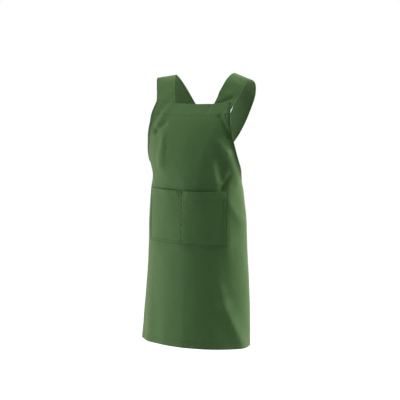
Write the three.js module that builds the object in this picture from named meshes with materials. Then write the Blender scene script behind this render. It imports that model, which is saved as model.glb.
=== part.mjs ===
// Kitchen apron with wide straps that cross at the back, in the form it has when worn.
// Millimetres, +Z up. The front faces -Y and the wearer's left is +X.
// The origin lies midway between the shoulders, level with the tops of the straps' middle lines.
import * as THREE from 'three';

// Cloth
const CLOTH = 1.5; // one layer
const HEM = 2 * CLOTH; // a turned hem
const SEAM_GAP = 1.0; // clear space between two pieces that are sewn together
const HEM_STEP = 1.0; // length over which a hem's second layer ends

// Panel. In the flat cut, w runs across from the centre line and s runs down from the bib's top.
const BIB_TOP = -95; // level of the bib's top edge at the centre line
const SIDE_HEM = 10;
const BOTTOM_HEM = 22;
const ROW_SPACING = 22;
const TOP_HEM_ROWS = 5;
const COLUMNS_PER_SIDE = 16;

// Pocket, in the panel's flat cut
const POCKET_TOP = 271;
const POCKET_HEIGHT = 172;
const POCKET_HALF_WIDTH = 149;
const POCKET_HEM = 24;
const POCKET_GAPE = 11; // how far each half of the mouth stands open
const POCKET_GAPE_SHIFT = 0.7; // under 1 moves the widest place towards the middle seam
const POCKET_GAPE_FADE = 1.2; // how the gape closes towards the bottom seam
const POCKET_ROWS = 10;
const POCKET_COLUMNS = 20;

// Straps
const STRAP_WIDTH = 66;
const STRAP_THICKNESS = 2.4; // two layers, pressed flat
const STRAP_FRONT_FLAT = 62; // length of the front end that lies flat against the bib
const STRAP_BACK_FLAT = 70; // length of the back end that lies flat against the skirt
const STRAP_RELEASE = 36; // length over which a sewn end takes up its own path
const STRAP_STATIONS = 50;
const STRAP_COLUMNS = 6;
const CROSSING_SPLIT = 1.7; // each strap's distance from the common surface where they cross
const CROSSING_REACH = 48; // along each strap, from the crossing
const CROSSING_FADE = 50;

const GREEN = 0x4f6f45;
const COTTON_ROUGHNESS = 0.82;
const PRESSED_ROUGHNESS = 0.78;
const SAMPLES = 240; // steps when a curve's length is measured
const PROBE = 1; // step when a surface's or a path's direction is measured

// Worn sections of the panel, each two half ellipses: level, half width, depth of the front half,
// depth of the back half, and where the middle of the section lies from front to back.
const SECTIONS = [
  [-60, 470, 95, 98, 40],
  [-95, 400, 98, 98, 22],
  [-140, 250, 89.5, 98, -14],
  [-170, 209, 100, 98, -17],
  [-205, 189, 111, 98, -18],
  [-245, 178.5, 113, 98, -23.5],
  [-285, 166, 103, 99, -34],
  [-322, 155.5, 97, 101, -38.5],
  [-370, 163, 94.5, 98.5, -37.5],
  [-450, 171, 102.5, 106.5, -33],
  [-560, 174.5, 111, 115, -28],
  [-720, 184, 117.5, 121.5, -25],
  [-880, 189.5, 121, 125, -28],
];

// Free edge of the panel: w, s, where the row that ends there starts on the centre line, the
// degrees by which that row turns up to meet the edge, and the length over which it turns.
// The top hem ends at the second armhole row, and the armhole at the back top corner.
const ARMHOLE_EDGE = [
  [136, -13, -4.5, 7.7, 45],
  [144.4, 27, 35.5, 8.6, 48],
  [148, 48, 54, 9, 50],
  [164, 110, 113, 14, 52],
  [178, 152, 154, 18, 52],
  [193, 190, 193, 27, 50],
  [214, 221, 226, 48, 48],
  [258, 246, 256, 73, 44],
  [314, 256, 298, 82, 68],
  [366, 257, 346, 60, 120],
];
const BACK_EDGE = [
  [366, 257, 346, 60, 120],
  [371, 300, 374, 38, 125],
  [379, 360, 412, 16, 125],
  [392, 470, 496, 2, 120],
  [426.3, 749, 749, 0, 120],
  [430, 779, 779, 0, 120],
];

// Folds of the panel, from one end to the other: w, s, reach across the fold and height at the
// first end, then the same at the second. A height below zero is a hollow.
const FOLDS = [
  [-93, -6, 14, -1.5, -128, 58, 16, -4.5],
  [-79, 0, 13, 1, -116, 64, 14, 4.5],
  [-79, 57, 8, -2.5, -118, 84, 10, -6],
  [-79, 106, 13, 3.5, -86, 192, 18, 5],
  [72, -4, 6, -2, 63, 22, 7, -0.5],
  [110, 34, 8, -3, 151, 98, 10, -7],
  [128, 28, 8, 2.5, 158, 88, 9, 3.5],
  [122, 114, 11, 3.5, 147, 146, 13, 6],
  [147, 146, 13, 6, 184, 236, 16, 5],
  [104, 136, 14, -1, 134, 190, 14, -3],
  [104, 190, 9, 2.5, 112, 238, 10, 3.5],
  [122, 182, 11, -4, 130, 230, 12, -6],
  [158, 206, 8, -2.5, 133, 258, 10, -5.5],
  [156, 313, 12, 1.4, 213, 373, 14, 2.4],
  [128, 544, 14, 2, 134, 590, 16, 3],
  [134, 590, 18, 2.5, 147, 636, 20, 5],
  [147, 636, 20, 5, 212, 770, 25, 8],
  [-140, 560, 24, 1, -132, 770, 30, 7],
];

// Path of the left strap, from its front end behind the bib to its back end inside the skirt's
// opposite corner: x, y, z and its outward normal.
const STRAP_PATH = [
  [92, -92, -137, 0.1, -0.9, 0.42],
  [105, -67, -93, 0.14, -0.86, 0.5],
  [118.5, -45, -53, 0.2, -0.84, 0.5],
  [131, -22, -17, 0.24, -0.64, 0.73],
  [139, 0, -2, 0.25, 0, 0.97],
  [141, 26, -11, 0.23, 0.55, 0.8],
  [132, 53, -42, 0.2, 0.82, 0.54],
  [106, 72, -100, 0.2, 0.95, 0.22],
  [62, 84.5, -178, 0.17, 0.98, 0],
  [3, 82, -250, 0, 0.98, -0.19],
  [-48, 64, -310, -0.2, 0.94, -0.26],
  [-78, 47, -352, -0.4, 0.9, -0.1],
  [-103, 36, -390, -0.5, 0.86, 0],
];

// Common surface of the two straps behind the wearer: furthest point back, its level, and how fast
// the surface falls away up and down and to the sides.
const BACK_SURFACE = { depth: 90, level: -170, fallUpDown: 0.0012, fallSideways: 0.0014 };

// The apron hangs a little askew, from the waist up and fully so from the bib's top: how far the bib
// and the straps are moved along X, how much the pieces rise for each millimetre along X, and how far
// the straps' normals turn along X where they face up.
const ASKEW = {
  start: -260,
  full: BIB_TOP,
  bibShift: -3.5,
  strapShift: 2,
  lean: 0.02,
  strapRoll: 0.1,
};

const lerp = THREE.MathUtils.lerp;
const smooth = (from, to, value) => THREE.MathUtils.smoothstep(value, from, to);

/** Slopes of a smooth curve through rows of numbers placed at the given positions. */
function rowSlopes(positions, rows) {
  const chord = rows.slice(1).map((row, i) =>
    row.map((value, k) => (value - rows[i][k]) / (positions[i + 1] - positions[i])));
  return rows.map((row, i) => {
    if (i === 0) return chord[0];
    if (i === rows.length - 1) return chord[i - 1];
    const before = positions[i] - positions[i - 1];
    const after = positions[i + 1] - positions[i];
    return row.map((_, k) => (chord[i - 1][k] * after + chord[i][k] * before) / (before + after));
  });
}

/** Function that gives the smooth curve through rows of numbers at any position between them. */
function curveThrough(positions, rows) {
  const slopes = rowSlopes(positions, rows);
  const last = positions.length - 1;
  return (position) => {
    const at = THREE.MathUtils.clamp(position, positions[0], positions[last]);
    let i = 0;
    while (i < last - 1 && at > positions[i + 1]) i += 1;
    const step = positions[i + 1] - positions[i];
    const u = (at - positions[i]) / step;
    const startShare = 2 * u ** 3 - 3 * u ** 2 + 1;
    const startSlope = (u ** 3 - 2 * u ** 2 + u) * step;
    const endSlope = (u ** 3 - u ** 2) * step;
    return rows[i].map((value, k) => value * startShare + rows[i + 1][k] * (1 - startShare)
      + slopes[i][k] * startSlope + slopes[i + 1][k] * endSlope);
  };
}

/** Curve through rows of numbers, by the length between their first columns. */
function curveByLength(rows, lengthColumns) {
  const positions = [0];
  rows.slice(1).forEach((row, i) => {
    const gaps = row.slice(0, lengthColumns).map((value, k) => value - rows[i][k]);
    positions.push(positions[i] + Math.hypot(...gaps));
  });
  return { at: curveThrough(positions, rows), length: positions[positions.length - 1] };
}

/** Points of a polyline at the given distances from its start. */
function pointsAlong(points, distances) {
  const reached = [0];
  points.slice(1).forEach((point, i) => {
    reached.push(reached[i] + Math.hypot(...point.map((value, k) => value - points[i][k])));
  });
  const total = reached[reached.length - 1];
  return distances(total).map((distance) => {
    let i = 0;
    while (i < points.length - 2 && distance > reached[i + 1]) i += 1;
    const share = (distance - reached[i]) / (reached[i + 1] - reached[i]);
    return points[i].map((value, k) => lerp(value, points[i + 1][k], share));
  });
}

const sectionsUpwards = [...SECTIONS].reverse();
const sectionAt = curveThrough(
  sectionsUpwards.map((row) => row[0]),
  sectionsUpwards.map((row) => row.slice(1)),
);

/** Points of a worn section's half outline at one level, from the front round to the back. */
function sectionOutline(z) {
  const [halfWidth, front, back, centre] = sectionAt(z);
  return evenly(0, Math.PI, SAMPLES).map((turn) => {
    const depth = Math.cos(turn) >= 0 ? front : back;
    return [halfWidth * Math.sin(turn), centre - depth * Math.cos(turn)];
  });
}

/** How fully the apron hangs askew at a level, from 0 to 1. */
function askewShare(z) {
  return smooth(ASKEW.start, ASKEW.full, z);
}

/** Moves a point of the even form to where it hangs. */
function hangAskew(point, shift) {
  const share = askewShare(point.z);
  return point.set(point.x + shift * share, point.y, point.z + ASKEW.lean * point.x * share);
}

/** Point of the smooth worn panel for flat cut coordinates, before any fold. */
function wornPoint(w, s) {
  const z = BIB_TOP - s;
  const [[x, y]] = pointsAlong(sectionOutline(z), () => [Math.abs(w)]);
  return hangAskew(new THREE.Vector3(Math.sign(w) * x, y, z), ASKEW.bibShift);
}

/** Flat cut coordinates of the place on the worn panel beside a point of the even form. */
function flatPlace({ x, y, z }) {
  const point = new THREE.Vector2(Math.abs(x), y);
  const outline = sectionOutline(z).map((place) => new THREE.Vector2(...place));
  let walked = 0;
  let nearest = { miss: Infinity, w: 0 };
  outline.slice(1).forEach((end, i) => {
    const along = end.clone().sub(outline[i]);
    const reached = point.clone().sub(outline[i]).dot(along) / along.lengthSq();
    const share = THREE.MathUtils.clamp(reached, 0, 1);
    const miss = outline[i].clone().addScaledVector(along, share).distanceTo(point);
    if (miss < nearest.miss) nearest = { miss, w: walked + share * along.length() };
    walked += along.length();
  });
  return [Math.sign(x) * nearest.w, BIB_TOP - z];
}

/** Outward direction of a surface given as a function of flat cut coordinates. */
function outward(surface, w, s) {
  const across = surface(w + PROBE, s).sub(surface(w - PROBE, s));
  const down = surface(w, s + PROBE).sub(surface(w, s - PROBE));
  return down.cross(across).normalize();
}

/** Height of all folds at a place of the flat cut. */
function foldHeight(w, s) {
  let height = 0;
  for (const [w0, s0, reach0, height0, w1, s1, reach1, height1] of FOLDS) {
    const alongW = w1 - w0;
    const alongS = s1 - s0;
    const share = ((w - w0) * alongW + (s - s0) * alongS) / (alongW ** 2 + alongS ** 2);
    const held = THREE.MathUtils.clamp(share, 0, 1);
    const distance = Math.hypot(w - w0 - held * alongW, s - s0 - held * alongS);
    const reach = lerp(reach0, reach1, held);
    height += lerp(height0, height1, held) * Math.exp(-((distance / reach) ** 2));
  }
  return height;
}

/** Point of the panel's outer face, with its folds. */
function panelPoint(w, s) {
  return wornPoint(w, s).addScaledVector(outward(wornPoint, w, s), foldHeight(w, s));
}

/** Point at a distance outside the panel's outer face, or inside it when below zero. */
function offPanel(w, s, distance) {
  return panelPoint(w, s).addScaledVector(outward(panelPoint, w, s), distance);
}

/** Closed thin body between an outer and an inner grid of points, as a geometry. */
function shell(outer, inner) {
  const rows = outer.length;
  const columns = outer[0].length;
  const points = [...outer.flat(), ...inner.flat()];
  const index = [];
  const at = (side, r, c) => side * rows * columns + r * columns + c;
  const quad = (a, b, c, d) => index.push(a, b, c, a, c, d);
  for (let r = 0; r < rows - 1; r += 1) {
    for (let c = 0; c < columns - 1; c += 1) {
      quad(at(0, r, c), at(0, r + 1, c), at(0, r + 1, c + 1), at(0, r, c + 1));
      quad(at(1, r, c), at(1, r, c + 1), at(1, r + 1, c + 1), at(1, r + 1, c));
    }
  }
  for (let c = 0; c < columns - 1; c += 1) {
    quad(at(0, 0, c), at(0, 0, c + 1), at(1, 0, c + 1), at(1, 0, c));
    quad(at(0, rows - 1, c), at(1, rows - 1, c), at(1, rows - 1, c + 1), at(0, rows - 1, c + 1));
  }
  for (let r = 0; r < rows - 1; r += 1) {
    quad(at(0, r, 0), at(1, r, 0), at(1, r + 1, 0), at(0, r + 1, 0));
    quad(at(0, r, columns - 1), at(0, r + 1, columns - 1), at(1, r + 1, columns - 1),
      at(1, r, columns - 1));
  }
  const geometry = new THREE.BufferGeometry().setFromPoints(points);
  geometry.setIndex(index);
  geometry.computeVertexNormals();
  return geometry;
}

/** Evenly spaced numbers from the first to the last, both included. */
function evenly(first, last, steps) {
  return Array.from({ length: steps + 1 }, (_, i) => lerp(first, last, i / steps));
}

/** Places down the panel's edge where its rows end, with the two sides of each hem's step. */
function panelEdgeRows() {
  const armhole = curveByLength(ARMHOLE_EDGE, 2);
  const backEdge = curveByLength(BACK_EDGE, 2);
  const [topCorner, hemEnd] = ARMHOLE_EDGE;
  const topHemEnd = Math.hypot(hemEnd[0] - topCorner[0], hemEnd[1] - topCorner[1]);
  const bottomHemStart = backEdge.length - BOTTOM_HEM;
  const armholeSteps = Math.round((armhole.length - topHemEnd) / ROW_SPACING);
  const backSteps = Math.round(bottomHemStart / ROW_SPACING);
  const armholePlaces = [
    ...evenly(0, topHemEnd - HEM_STEP, TOP_HEM_ROWS),
    ...evenly(topHemEnd, armhole.length, armholeSteps),
  ];
  const backPlaces = [
    ...evenly(0, bottomHemStart, backSteps).slice(1),
    bottomHemStart + HEM_STEP,
    backEdge.length,
  ];
  return [
    ...armholePlaces.map((place) => ({ end: armhole.at(place), hem: place < topHemEnd })),
    ...backPlaces.map((place) => ({ end: backEdge.at(place), hem: place > bottomHemStart })),
  ];
}

/** Flat cut points of one row of the panel, from the centre line to the free edge. */
function panelRow([edgeW, edgeS, centreS, lift, reach]) {
  const turn = THREE.MathUtils.degToRad(lift);
  const row = new THREE.CubicBezierCurve(
    new THREE.Vector2(0, centreS),
    new THREE.Vector2(edgeW / 3, centreS),
    new THREE.Vector2(edgeW - reach * Math.cos(turn), edgeS + reach * Math.sin(turn)),
    new THREE.Vector2(edgeW, edgeS),
  );
  const fine = row.getPoints(SAMPLES).map((point) => [point.x, point.y]);
  return pointsAlong(fine, (length) => [
    ...evenly(0, length - SIDE_HEM - HEM_STEP, COLUMNS_PER_SIDE),
    length - SIDE_HEM,
    length,
  ]);
}

/** Bib and wrap-round skirt in one cut, with turned hems. */
function frontPanel() {
  const outer = [];
  const inner = [];
  for (const { end, hem } of panelEdgeRows()) {
    const half = panelRow(end).map(([w, s], i) => ({ w, s, hem: hem || i > COLUMNS_PER_SIDE }));
    const mirrored = half.slice(1).reverse().map((place) => ({ ...place, w: -place.w }));
    const row = [...mirrored, ...half];
    outer.push(row.map(({ w, s }) => panelPoint(w, s)));
    inner.push(row.map((place) => offPanel(place.w, place.s, place.hem ? -HEM : -CLOTH)));
  }
  return shell(outer, inner);
}

/** How far the pocket stands off its seams at a place of the flat cut. */
function pocketGape(w, s) {
  const across = (Math.abs(w) / POCKET_HALF_WIDTH) ** POCKET_GAPE_SHIFT;
  const up = 1 - (s - POCKET_TOP) / POCKET_HEIGHT;
  return POCKET_GAPE * Math.sin(Math.PI * across) * up ** POCKET_GAPE_FADE;
}

/** Wide patch pocket, seamed down its middle, with a top hem. */
function pocket() {
  const hemEnd = POCKET_TOP + POCKET_HEM;
  const rows = [
    POCKET_TOP,
    hemEnd - HEM_STEP,
    ...evenly(hemEnd, POCKET_TOP + POCKET_HEIGHT, POCKET_ROWS),
  ];
  const columns = evenly(-POCKET_HALF_WIDTH, POCKET_HALF_WIDTH, POCKET_COLUMNS);
  const lift = (w, s) => SEAM_GAP + pocketGape(w, s);
  const outer = rows.map((s) => columns.map((w) =>
    offPanel(w, s, lift(w, s) + (s < hemEnd ? HEM : CLOTH))));
  const inner = rows.map((s) => columns.map((w) => offPanel(w, s, lift(w, s))));
  return shell(outer, inner);
}

/** Surface behind the wearer on which both straps lie where they cross. */
function backSurfaceDepth(x, z) {
  const { depth, level, fallUpDown, fallSideways } = BACK_SURFACE;
  return depth - fallUpDown * (z - level) ** 2 - fallSideways * x ** 2;
}

/**
 * Middle line of a strap, told as for the left one: place, outward normal and sideways direction
 * along its length.
 */
function strapPath(mirror) {
  const curve = curveByLength(STRAP_PATH, 3);
  const centreAt = (place) => new THREE.Vector3(...curve.at(place).slice(0, 3));
  const normalAt = (place) => {
    const [x, y, z] = curve.at(place).slice(3);
    const roll = mirror * ASKEW.strapRoll * Math.max(z, 0);
    return new THREE.Vector3(x + roll, y, z).normalize();
  };
  const acrossAt = (place) => {
    const along = centreAt(place + PROBE).sub(centreAt(place - PROBE));
    return normalAt(place).cross(along).normalize();
  };
  const crossing = evenly(0, curve.length, SAMPLES).find((place) => centreAt(place).x < 0);
  return { length: curve.length, crossing, centreAt, normalAt, acrossAt };
}

/** Strap from a front corner of the bib to the opposite back corner of the skirt. */
function strap(mirror, crossingSide) {
  const path = strapPath(mirror);
  const pointAt = (place, sideways, depth) => {
    const point = path.centreAt(place).addScaledVector(path.acrossAt(place), sideways);
    const placed = point.clone().addScaledVector(path.normalAt(place), depth);
    placed.x *= mirror;
    hangAskew(placed, ASKEW.strapShift);
    const [w, s] = flatPlace(point);
    const slip = (ASKEW.strapShift - ASKEW.bibShift) * askewShare(point.z);
    const sewn = offPanel(mirror * w + slip, s, depth - HEM - SEAM_GAP - STRAP_THICKNESS / 2);
    const fromBack = path.length - place;
    const frontShare = 1 - smooth(STRAP_FRONT_FLAT, STRAP_FRONT_FLAT + STRAP_RELEASE, place);
    const backShare = 1 - smooth(STRAP_BACK_FLAT, STRAP_BACK_FLAT + STRAP_RELEASE, fromBack);
    placed.lerp(sewn, Math.max(frontShare, backShare));
    const fromCrossing = Math.abs(place - path.crossing);
    const laidShare = 1 - smooth(CROSSING_REACH, CROSSING_REACH + CROSSING_FADE, fromCrossing);
    const laid = backSurfaceDepth(placed.x, placed.z) + crossingSide * CROSSING_SPLIT + depth;
    placed.y = lerp(placed.y, laid, laidShare);
    return placed;
  };
  const columns = evenly((-mirror * STRAP_WIDTH) / 2, (mirror * STRAP_WIDTH) / 2, STRAP_COLUMNS);
  const places = evenly(0, path.length, STRAP_STATIONS);
  const face = (depth) => places.map((place) =>
    columns.map((sideways) => pointAt(place, sideways, depth)));
  return shell(face(STRAP_THICKNESS / 2), face(-STRAP_THICKNESS / 2));
}

/** Named mesh of one piece of cloth, with its own material. */
function clothPiece(name, geometry, roughness) {
  const material = new THREE.MeshStandardMaterial({ color: GREEN, roughness, metalness: 0 });
  const mesh = new THREE.Mesh(geometry, material);
  mesh.name = name;
  return mesh;
}

const LEFT = 1;
const RIGHT = -1;
const OVER = 1;
const UNDER = -1;
const apron = new THREE.Group();
apron.add(
  clothPiece('front_panel', frontPanel(), COTTON_ROUGHNESS),
  clothPiece('pocket', pocket(), COTTON_ROUGHNESS),
  clothPiece('strap_left', strap(LEFT, OVER), PRESSED_ROUGHNESS),
  clothPiece('strap_right', strap(RIGHT, UNDER), PRESSED_ROUGHNESS),
);

export default apron;
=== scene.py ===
"""Kitchen apron with wide straps that cross at the back, dressed as sewn cotton twill.

The cloth is laid out in the flat cut of the front panel, in millimetres: w runs across from the centre
line and s runs down from the bib's top edge. Meshes are made in metres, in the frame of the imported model.
"""
import logging
import math
from collections.abc import Callable
from dataclasses import dataclass, field
from enum import Enum
from typing import NamedTuple

import bpy
import numpy as np
from mathutils import Matrix, Vector


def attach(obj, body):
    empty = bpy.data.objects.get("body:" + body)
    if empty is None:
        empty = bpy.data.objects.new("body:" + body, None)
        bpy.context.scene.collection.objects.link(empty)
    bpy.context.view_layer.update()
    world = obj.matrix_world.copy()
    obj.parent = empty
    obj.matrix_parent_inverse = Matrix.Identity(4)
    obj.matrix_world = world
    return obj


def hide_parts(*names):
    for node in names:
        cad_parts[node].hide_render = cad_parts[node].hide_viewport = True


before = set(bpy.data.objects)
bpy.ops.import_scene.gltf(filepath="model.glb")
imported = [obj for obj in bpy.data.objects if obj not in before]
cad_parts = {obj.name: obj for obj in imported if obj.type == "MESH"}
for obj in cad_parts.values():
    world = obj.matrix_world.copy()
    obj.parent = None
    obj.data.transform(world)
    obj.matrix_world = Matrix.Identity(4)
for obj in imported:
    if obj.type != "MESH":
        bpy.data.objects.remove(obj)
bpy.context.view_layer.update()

LOG = logging.getLogger("apron")
METRES = 0.001  # one millimetre
BODY = "root"
BIB_TOP = -95.0  # level of the bib's top edge at the centre line
WARM = (1.0, 0.935, 0.955)  # colour of the side and rim lights

Colour = tuple[float, float, float]
SocketValue = bpy.types.NodeSocket | str | float | tuple[float, ...]

# Worn sections of the panel, each two half ellipses: level, half width, depth of the front half,
# depth of the back half, and where the middle of the section lies from front to back.
SECTIONS = (
    (-60, 470, 95, 98, 40),
    (-95, 400, 98, 98, 22),
    (-140, 250, 89.5, 98, -14),
    (-170, 209, 100, 98, -17),
    (-205, 189, 111, 98, -18),
    (-245, 178.5, 113, 98, -23.5),
    (-285, 166, 103, 99, -34),
    (-322, 155.5, 97, 101, -38.5),
    (-370, 163, 94.5, 98.5, -37.5),
    (-450, 171, 102.5, 106.5, -33),
    (-560, 174.5, 111, 115, -28),
    (-720, 184, 117.5, 121.5, -25),
    (-880, 189.5, 121, 125, -28),
)

# Free edge of the panel: w, s, where the row that ends there starts on the centre line, the degrees by
# which that row turns up to meet the edge, and the length over which it turns. The top hem ends at the
# second armhole row; the next to last back row keeps the bottom hem level with its edge.
ARMHOLE_EDGE = (
    (136, -13, -4.5, 7.7, 45),
    (144.4, 27, 35.5, 8.6, 48),
    (148, 48, 54, 9, 50),
    (164, 110, 113, 14, 52),
    (178, 152, 154, 18, 52),
    (193, 190, 193, 27, 50),
    (214, 221, 226, 48, 48),
    (258, 246, 256, 73, 44),
    (314, 256, 298, 82, 68),
    (366, 257, 346, 60, 120),
)
BACK_EDGE = (
    (366, 257, 346, 60, 120),
    (371, 300, 374, 38, 125),
    (379, 360, 412, 16, 125),
    (392, 470, 496, 2, 120),
    (426.3, 749, 749, 0, 120),
    (430, 779, 779, 0, 120),
)

# Path of the left strap, from its front end behind the bib to its back end inside the skirt's opposite
# corner: x, y, z and its outward normal.
STRAP_PATH = (
    (92, -92, -137, 0.1, -0.9, 0.42),
    (105, -67, -93, 0.14, -0.86, 0.5),
    (118.5, -45, -53, 0.2, -0.84, 0.5),
    (131, -22, -17, 0.24, -0.64, 0.73),
    (139, 0, -2, 0.25, 0, 0.97),
    (141, 26, -11, 0.23, 0.55, 0.8),
    (132, 53, -42, 0.2, 0.82, 0.54),
    (106, 72, -100, 0.2, 0.95, 0.22),
    (62, 84.5, -178, 0.17, 0.98, 0),
    (3, 82, -250, 0, 0.98, -0.19),
    (-48, 64, -310, -0.2, 0.94, -0.26),
    (-78, 47, -352, -0.4, 0.9, -0.1),
    (-103, 36, -390, -0.5, 0.86, 0),
)


class Side(Enum):
    """Side of the wearer from which a strap starts, as the sign of x."""

    LEFT = 1
    RIGHT = -1


class Lay(Enum):
    """How a strap lies where the two cross, as a direction along y."""

    OVER = 1
    UNDER = -1


class Slot(Enum):
    """Material slots of the record."""

    PANEL = "panel_cotton"
    POCKET = "pocket_cotton"
    STRAP = "strap_cotton"


class Fold(NamedTuple):
    """Fold of the panel from one end to the other in the flat cut; a height below zero is a hollow."""

    w0: float
    s0: float
    reach0: float
    height0: float
    w1: float
    s1: float
    reach1: float
    height1: float

    def height(self, w: np.ndarray, s: np.ndarray) -> np.ndarray:
        """Height of the fold above the smooth panel.

        Args:
            w: places across the flat cut.
            s: places down the flat cut.

        Returns:
            Heights in millimetres.
        """
        along_w = self.w1 - self.w0
        along_s = self.s1 - self.s0
        share = ((w - self.w0) * along_w + (s - self.s0) * along_s) / (along_w**2 + along_s**2)
        held = np.clip(share, 0, 1)
        distance = np.hypot(w - self.w0 - held * along_w, s - self.s0 - held * along_s)
        reach = self.reach0 + held * (self.reach1 - self.reach0)
        height = self.height0 + held * (self.height1 - self.height0)
        return height * self.profile(distance / reach)

    def profile(self, share: np.ndarray) -> np.ndarray:
        """Share of the full height, by the distance from the crest in reaches."""
        return np.exp(-(share**2))


class Crease(Fold):
    """Fold with a sharp crest."""

    ROUNDING = 0.25  # of the crest, in reaches

    def profile(self, share: np.ndarray) -> np.ndarray:
        """Share of the full height, by the distance from the crest in reaches."""
        return np.exp(self.ROUNDING - np.hypot(share, self.ROUNDING))


# Main folds, which the solids have too.
MAIN_FOLDS = (
    Fold(-93, -6, 14, -1.5, -128, 58, 16, -4.5),
    Fold(-79, 0, 13, 1, -116, 64, 14, 4.5),
    Fold(-79, 57, 8, -2.5, -118, 84, 10, -6),
    Fold(-79, 106, 13, 3.5, -86, 192, 18, 5),
    Fold(72, -4, 6, -2, 63, 22, 7, -0.5),
    Fold(110, 34, 8, -3, 151, 98, 10, -7),
    Fold(128, 28, 8, 2.5, 158, 88, 9, 3.5),
    Fold(122, 114, 11, 3.5, 147, 146, 13, 6),
    Fold(147, 146, 13, 6, 184, 236, 16, 5),
    Fold(104, 136, 14, -1, 134, 190, 14, -3),
    Fold(104, 190, 9, 2.5, 112, 238, 10, 3.5),
    Fold(122, 182, 11, -4, 130, 230, 12, -6),
    Fold(158, 206, 8, -2.5, 133, 258, 10, -5.5),
    Fold(156, 313, 12, 1.4, 213, 373, 14, 2.4),
    Fold(128, 544, 14, 2, 134, 590, 16, 3),
    Fold(134, 590, 18, 2.5, 147, 636, 20, 5),
    Fold(147, 636, 20, 5, 212, 770, 25, 8),
    Fold(-140, 560, 24, 1, -132, 770, 30, 7),
)

# Broad bends and soft folds of the bib and skirt.
BENDS = (
    Crease(-76, 98, 40, 2.5, -70, 165, 42, 4.5),
    Crease(-70, 165, 42, 4.5, -72, 262, 40, 2.5),
    Crease(94, 87, 34, 2.5, 72, 163, 40, 5),
    Crease(72, 163, 40, 5, 54, 262, 38, 3),
    Crease(4, 262, 40, 3.5, 8, 450, 40, 1.5),
    Crease(8, 450, 40, 1, 15, 779, 44, 4.5),
    Crease(148, 236, 22, 2, 152, 300, 24, 4),
    Crease(152, 300, 24, 4, 156, 440, 24, 4.5),
    Crease(156, 440, 24, 4.5, 166, 560, 28, 1),
    Crease(-190, 600, 16, 0.5, -197, 779, 18, 6),
    Fold(60, 120, 10, 0.8, 100, 210, 14, 1.2),
    Fold(-40, 190, 16, 0.5, -60, 262, 18, 1.0),
    Fold(40, 480, 22, 0.4, 52, 700, 30, 1.2),
    Fold(-60, 500, 26, 0.5, -70, 760, 30, 1.4),
)

# Fine creases of the bib and skirt.
FINE_CREASES = (
    Crease(-78, 57, 4, -0.8, -117, 81, 4.5, -1.6),
    Crease(-71, 112, 4, -0.8, -58, 139, 5, -1.3),
    Crease(-58, 139, 5, -1.3, -64, 168, 5, -0.4),
    Crease(17, 2, 3, -0.5, 23, 30, 3, -0.3),
    Crease(68, -6, 3, -0.8, 61, 24, 3.5, -0.3),
    Crease(110, 34, 4.5, -2.4, 149, 95, 5.5, -4),
    Crease(131, 32, 3.5, -1.6, 148, 64, 4, -2.2),
    Crease(120, 112, 5, 1, 140, 146, 6, 2.2),
    Crease(142, 152, 9, 1.8, 160, 228, 13, 2.6),
    Crease(152, 208, 4, 1.5, 136, 236, 4, 1.5),
    Crease(153, 222, 4.5, -1.6, 130, 266, 6, -4),
    Crease(102, 186, 5, 0.8, 110, 230, 5, 1),
    Crease(156, 312, 12, 1.6, 196, 377, 14, 3.2),
    Crease(142, 628, 10, 1.6, 168, 684, 12, 3.8),
    Crease(168, 684, 12, 3.8, 210, 765, 14, 3.2),
)

# Creases of the pocket: beside the top of its middle seam, at one corner of its mouth and down its halves.
POCKET_CREASES = (
    Crease(-19, 276, 5, 1.4, -14, 294, 6, 0.4),
    Crease(-9, 276, 4, -0.9, -6, 300, 5, -0.3),
    Crease(23, 274, 5, 1.4, 17, 292, 6, 0.4),
    Crease(134, 280, 6, 1.6, 122, 300, 8, 0.4),
    Crease(60, 330, 16, 0.8, 96, 400, 20, 0.6),
    Crease(-50, 310, 14, 0.8, -84, 390, 18, 0.6),
)

# Creases of the left and the right strap, with the distance from the middle line towards the neck in place
# of w and the place along the path in place of s.
LEFT_STRAP_CREASES = (
    Crease(24, 52, 4, -3.5, -14, 86, 5, -4),
    Crease(16, 74, 9, 1.2, -6, 98, 9, 1.2),
)
RIGHT_STRAP_CREASES = (
    Crease(10, 62, 7, 0.8, -8, 100, 8, 0.5),
)

# Slow waves of the cloth: wavelength, direction of travel in degrees from w towards s, phase, height.
RIPPLES = (
    (118, 4, 0.4, 0.35),
    (171, -9, 1.9, 0.5),
    (76, 21, 3.1, 0.16),
    (93, 74, 5.0, 0.14),
    (41, -33, 2.2, 0.07),
)


def ease(start: float, end: float, value: np.ndarray) -> np.ndarray:
    """Smooth step from 0 at the start to 1 at the end.

    Args:
        start: value up to which the result is 0.
        end: value from which the result is 1.
        value: places to read.

    Returns:
        Shares from 0 to 1.
    """
    share = np.clip((value - start) / (end - start), 0, 1)
    return share * share * (3 - 2 * share)


def bell(distance: np.ndarray, reach: float) -> np.ndarray:
    """Share that falls from 1 at no distance towards 0 past the reach."""
    return np.exp(-((distance / reach) ** 2))


def unit(vectors: np.ndarray) -> np.ndarray:
    """Vectors of length one."""
    return vectors / np.linalg.norm(vectors, axis=-1, keepdims=True)


def nearest(values: np.ndarray, wanted: float) -> int:
    """Number of the value that comes nearest to the wanted one."""
    return int(np.abs(values - wanted).argmin())


def put_in_scene(name: str, data: bpy.types.ID) -> bpy.types.Object:
    """Makes an object and links it to the scene.

    Args:
        name: name of the object.
        data: its mesh, light or camera.

    Returns:
        The object.
    """
    made = bpy.data.objects.new(name, data)
    bpy.context.scene.collection.objects.link(made)
    return made


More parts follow.
